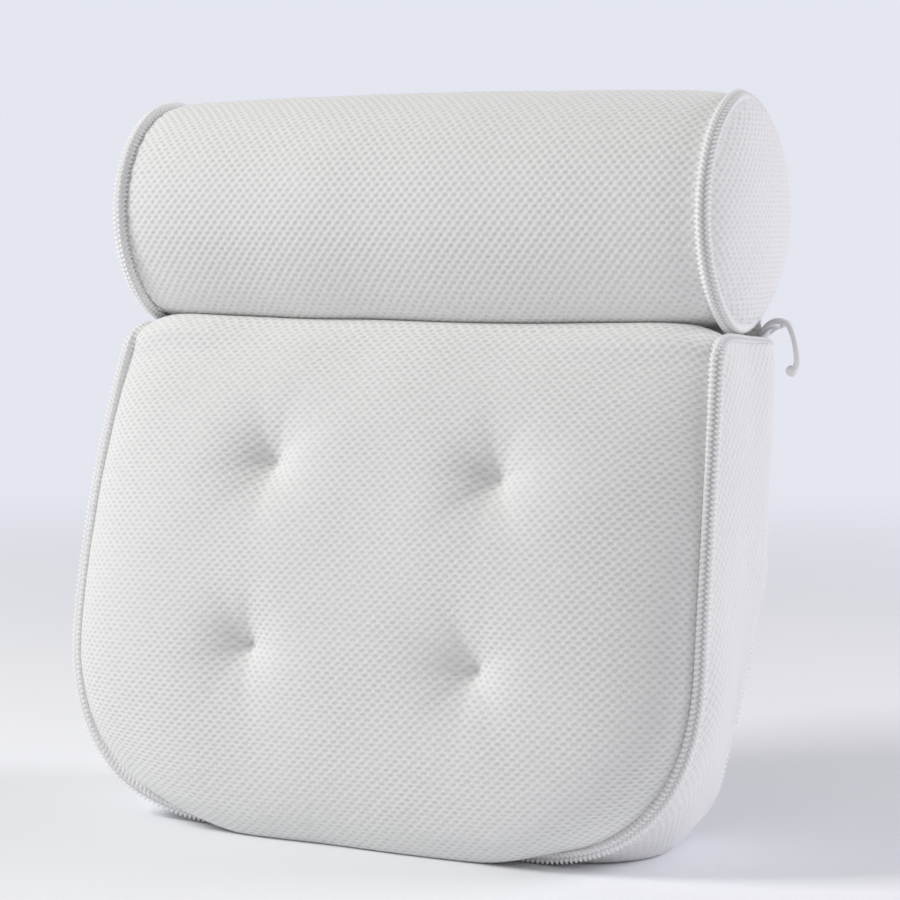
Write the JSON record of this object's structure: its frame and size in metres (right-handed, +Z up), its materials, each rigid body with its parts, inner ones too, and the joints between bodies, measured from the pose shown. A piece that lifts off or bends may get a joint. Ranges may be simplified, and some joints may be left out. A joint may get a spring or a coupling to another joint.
{
  "type": "bath pillow",
  "caption": "White mesh bath pillow: a round head roll folds on a cloth web above a tufted box cushion with double welts, held by suction cups, with a hanging hook.",
  "frame": {"origin": "centre of the bounding box, on the floor that the pillow stands on", "axes": "+X to the viewer's right facing the tufted front, +Y to the back where the suction cups are, +Z up"},
  "size_m": [0.3248, 0.1826, 0.3455],
  "materials": {
    "mesh_cloth": "matte",
    "welt_cloth": "matte",
    "filling": "matte",
    "thread": "matte",
    "seat_cloth": "matte",
    "cup_vinyl": "gloss",
    "hook_plastic": "gloss"
  },
  "bodies": {
    "cushion": {"cushion_front_panel": "mesh_cloth", "cushion_side_band": "mesh_cloth", "cushion_back_panel": "mesh_cloth", "cushion_front_welt": "welt_cloth", "cushion_back_welt": "welt_cloth", "cushion_filling": "filling", "tuft_tie_lower_left": "thread", "tuft_tie_lower_right": "thread", "tuft_tie_upper_left": "thread", "tuft_tie_upper_right": "thread", "fold_web_cushion_leaf": "mesh_cloth", "hang_loop": "thread", "cup_seat_lower_left": "seat_cloth", "cup_seat_lower_right": "seat_cloth", "cup_seat_upper_left": "seat_cloth", "cup_seat_upper_right": "seat_cloth"},
    "roll": {"roll_cover": "mesh_cloth", "roll_end_left": "mesh_cloth", "roll_end_right": "mesh_cloth", "roll_welt_left": "welt_cloth", "roll_welt_right": "welt_cloth", "roll_filling": "filling", "fold_web_roll_leaf": "mesh_cloth", "cup_seat_roll_left": "seat_cloth", "cup_seat_roll_right": "seat_cloth"},
    "hook": {"hang_hook": "hook_plastic"},
    "cup_roll_left": {"suction_cup_roll_left": "cup_vinyl"},
    "cup_roll_right": {"suction_cup_roll_right": "cup_vinyl"},
    "cup_lower_left": {"suction_cup_lower_left": "cup_vinyl"},
    "cup_lower_right": {"suction_cup_lower_right": "cup_vinyl"},
    "cup_upper_left": {"suction_cup_upper_left": "cup_vinyl"},
    "cup_upper_right": {"suction_cup_upper_right": "cup_vinyl"}
  },
  "joints": [
    {"name": "roll_fold", "type": "hinge", "parent": "cushion", "child": "roll", "pos_m": [0, 0.0573, 0.2318], "axis": [-1, 0, 0], "range_deg": [0, 90]},
    {"name": "hook_swing", "type": "hinge", "parent": "cushion", "child": "hook", "pos_m": [0.1539, 0.0543, 0.2356], "axis": [0, -1, 0], "range_deg": [0, 110]},
    {"name": "cup_roll_left_spin", "type": "hinge", "parent": "roll", "child": "cup_roll_left", "pos_m": [-0.075, 0.07231, 0.2888], "axis": [0, 1, 0], "continuous": true},
    {"name": "cup_roll_right_spin", "type": "hinge", "parent": "roll", "child": "cup_roll_right", "pos_m": [0.075, 0.07231, 0.2888], "axis": [0, 1, 0], "continuous": true},
    {"name": "cup_lower_left_spin", "type": "hinge", "parent": "cushion", "child": "cup_lower_left", "pos_m": [-0.098, 0.0312, 0.07], "axis": [0, 0.9976, -0.0698], "continuous": true},
    {"name": "cup_lower_right_spin", "type": "hinge", "parent": "cushion", "child": "cup_lower_right", "pos_m": [0.098, 0.0312, 0.07], "axis": [0, 0.9976, -0.0698], "continuous": true},
    {"name": "cup_upper_left_spin", "type": "hinge", "parent": "cushion", "child": "cup_upper_left", "pos_m": [-0.098, 0.0375, 0.16], "axis": [0, 0.9976, -0.0698], "continuous": true},
    {"name": "cup_upper_right_spin", "type": "hinge", "parent": "cushion", "child": "cup_upper_right", "pos_m": [0.098, 0.0375, 0.16], "axis": [0, 0.9976, -0.0698], "continuous": true}
  ]
}
